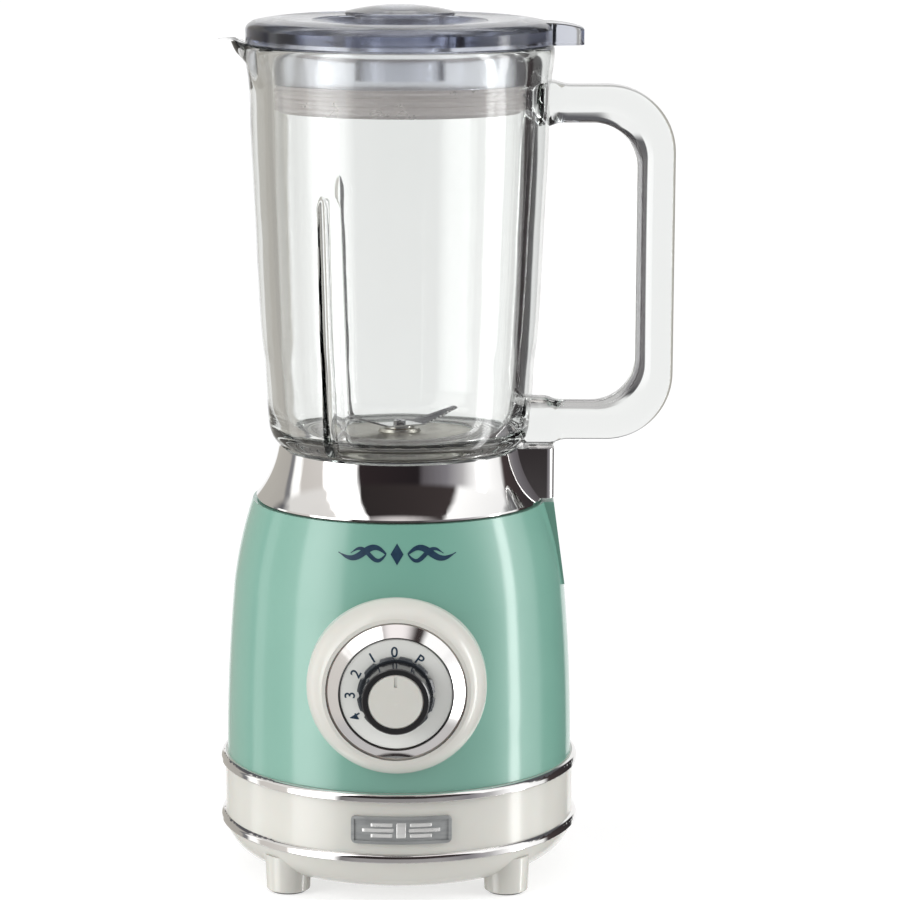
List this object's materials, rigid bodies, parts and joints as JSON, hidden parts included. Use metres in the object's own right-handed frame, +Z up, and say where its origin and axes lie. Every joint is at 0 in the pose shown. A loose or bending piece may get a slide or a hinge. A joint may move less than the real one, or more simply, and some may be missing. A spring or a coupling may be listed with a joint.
{
  "type": "countertop blender",
  "caption": "Countertop blender with a glass jug and handle, lid with measuring cap, chrome jug collar, painted motor body, rotary speed dial and footed base.",
  "frame": {"origin": "on the jug and motor axis, in the plane that the feet stand on", "axes": "+Z up along the motor axis, +X towards the jug's handle, -Y towards the dial"},
  "size_m": [0.2096, 0.1921, 0.4022],
  "materials": {
    "cream_plastic": "gloss moulded cream plastic",
    "cream_print": null,
    "mint_paint": "gloss mint green enamel",
    "chrome": "polished chrome",
    "badge_metal": "brushed plate with polished rim",
    "foot_rubber": "matt grey rubber",
    "black_rubber": "matt black rubber",
    "fastener_steel": "zinc plated",
    "black_plastic": "satin black moulding",
    "knob_black": "gloss black",
    "knob_smoke": "dark translucent scalloped skirt",
    "machined_steel": "ground steel",
    "board_green": "solder-masked board",
    "lamination": "stacked sheet steel",
    "copper_wire": "enamelled copper winding",
    "cast_bracket": "as cast",
    "brass_parts": "drawn brass and sintered bronze",
    "carbon": "carbon",
    "white_plastic": "white moulding",
    "capacitor_yellow": "yellow moulded case",
    "spring_steel": "spring wire",
    "holder_steel": "satin stainless steel",
    "seat_plastic": "satin warm grey moulding",
    "jug_glass": "clear pressed glass",
    "silicone": "translucent silicone",
    "blade_steel": "stainless steel, ground edges",
    "smoke_lid": "clear blue-grey plastic"
  },
  "bodies": {
    "base": {"body_shell": "mint_paint", "jug_collar": "chrome", "jug_seat_deck": "seat_plastic", "base_ring": "cream_plastic", "upper_trim_band": "chrome", "lower_trim_band": "chrome", "base_pan": "cream_plastic", "foot_pads": "foot_rubber", "name_plate": "badge_metal", "bottom_screws": "fastener_steel", "dial_bezel": "cream_plastic", "dial_trim_ring": "chrome", "dial_plate": "cream_print", "rotary_switch": "black_plastic", "control_board": "board_green", "interlock_switch": "black_plastic", "stator_core": "lamination", "field_coils": "copper_wire", "upper_motor_bracket": "cast_bracket", "lower_motor_bracket": "cast_bracket", "upper_motor_bearing": "machined_steel", "lower_motor_bearing": "machined_steel", "motor_screws": "fastener_steel", "brush_holders": "brass_parts", "carbon_brushes": "carbon", "motor_mount_plate": "lamination", "motor_rubber_mounts": "black_rubber", "mount_screws": "fastener_steel", "cord_inlet": "black_rubber", "terminal_block": "white_plastic", "suppressor_capacitor": "capacitor_yellow"},
    "armature": {"motor_shaft": "machined_steel", "armature_core": "lamination", "armature_windings": "copper_wire", "commutator": "copper_wire", "cooling_fan": "black_plastic", "drive_coupling": "black_plastic"},
    "knob": {"knob_skirt": "knob_smoke", "knob_grip": "knob_black", "knob_cap": "cream_plastic", "switch_shaft": "machined_steel"},
    "interlock": {"interlock_pin": "black_plastic", "interlock_spring": "spring_steel"},
    "jug": {"glass_jug": "jug_glass", "blade_holder": "holder_steel", "jug_seal": "silicone", "blade_bearing": "brass_parts"},
    "blades": {"blade_shaft": "machined_steel", "blade_washer": "blade_steel", "cutting_blade": "blade_steel", "blade_nut": "blade_steel", "driven_coupling": "black_plastic"},
    "lid": {"lid_cover": "smoke_lid", "lid_gasket": "silicone"},
    "cap": {"measuring_cap": "smoke_lid"}
  },
  "joints": [
    {"name": "knob_turn", "type": "hinge", "parent": "base", "child": "knob", "pos_m": [0, -0.09, 0.1032], "axis": [0, -1, 0], "range_deg": [-35, 120]},
    {"name": "motor_spin", "type": "hinge", "parent": "base", "child": "armature", "pos_m": [0, 0, 0.105], "axis": [0, 0, 1], "continuous": true},
    {"name": "interlock_press", "type": "slide", "parent": "base", "child": "interlock", "axis": [0, 0, 1], "range_m": [-0.0025, 0], "stiffness_N_per_m": 500, "springref_m": 0.004, "deforming": ["interlock_spring"]},
    {"name": "jug_lift", "type": "slide", "parent": "base", "child": "jug", "axis": [0, 0, 1], "range_m": [0, 0.08]},
    {"name": "blade_spin", "type": "hinge", "parent": "jug", "child": "blades", "pos_m": [0, 0, 0.205], "axis": [0, 0, 1], "continuous": true},
    {"name": "lid_lift", "type": "slide", "parent": "jug", "child": "lid", "axis": [0, 0, 1], "range_m": [0, 0.15]},
    {"name": "cap_lift", "type": "slide", "parent": "lid", "child": "cap", "axis": [0, 0, 1], "range_m": [0, 0.06]}
  ],
  "couplings": [
    {"joint": "blade_spin", "follows": "motor_spin", "ratio": 1}
  ]
}
